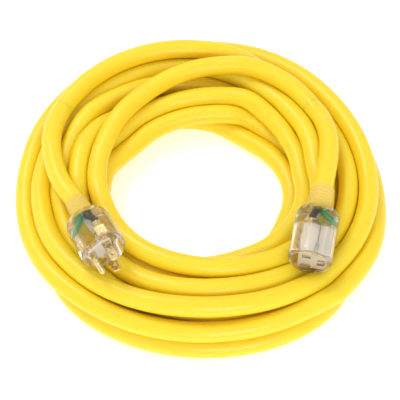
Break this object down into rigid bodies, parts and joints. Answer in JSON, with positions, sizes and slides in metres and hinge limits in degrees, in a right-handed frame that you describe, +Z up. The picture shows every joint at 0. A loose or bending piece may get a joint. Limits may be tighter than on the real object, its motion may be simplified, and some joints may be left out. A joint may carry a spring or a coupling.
{
  "type": "extension cord",
  "caption": "Coiled heavy three-wire extension cord with a clear grounding plug and a clear lighted connector that lift off the coil.",
  "frame": {"origin": "on the floor, under the centre of the coil", "axes": "+Z up; the connector's face looks along -Y, with the connector on the +X side and the plug on the -X side of the coil"},
  "size_m": [0.309, 0.309, 0.0772],
  "materials": {
    "yellow_vinyl": "satin yellow vinyl jacket",
    "clear_vinyl": "clear moulded vinyl, glossy",
    "white_plastic": "moulded white nylon",
    "brass": "drawn brass",
    "black_insulation": "black vinyl insulation",
    "white_insulation": "white vinyl insulation",
    "green_insulation": "green vinyl insulation",
    "lamp_glass": "small unlit neon lamp",
    "resistor_lacquer": "tan lacquered resistor"
  },
  "bodies": {
    "coil": {"cord_coil": "yellow_vinyl"},
    "plug": {"plug_lead": "yellow_vinyl", "plug_strain_relief": "clear_vinyl", "plug_housing": "clear_vinyl", "plug_blade_carrier": "white_plastic", "plug_line_blade": "brass", "plug_neutral_blade": "brass", "plug_ground_pin": "brass", "plug_line_crimp": "brass", "plug_neutral_crimp": "brass", "plug_ground_crimp": "brass", "plug_line_conductor": "black_insulation", "plug_neutral_conductor": "white_insulation", "plug_ground_conductor": "green_insulation"},
    "connector": {"connector_lead": "yellow_vinyl", "connector_strain_relief": "clear_vinyl", "connector_housing": "clear_vinyl", "connector_face_plate": "clear_vinyl", "connector_core": "white_plastic", "connector_line_contact": "brass", "connector_neutral_contact": "brass", "connector_ground_contact": "brass", "connector_line_crimp": "brass", "connector_neutral_crimp": "brass", "connector_ground_crimp": "brass", "connector_line_conductor": "black_insulation", "connector_neutral_conductor": "white_insulation", "connector_ground_conductor": "green_insulation", "connector_lamp": "lamp_glass", "connector_lamp_resistor": "resistor_lacquer", "connector_lamp_line_wire": "brass", "connector_lamp_front_wire": "brass", "connector_lamp_neutral_wire": "brass"}
  },
  "joints": [
    {"name": "plug_lift", "type": "hinge", "parent": "coil", "child": "plug", "pos_m": [-0.12767, 0.03903, 0.038], "axis": [-0.884, -0.4675, 0], "range_deg": [0, 35], "deforming": ["plug_lead"]},
    {"name": "connector_lift", "type": "hinge", "parent": "coil", "child": "connector", "pos_m": [0.07945, 0.0852, 0.038], "axis": [-0.9893, -0.146, 0], "range_deg": [0, 35], "deforming": ["connector_lead"]}
  ]
}
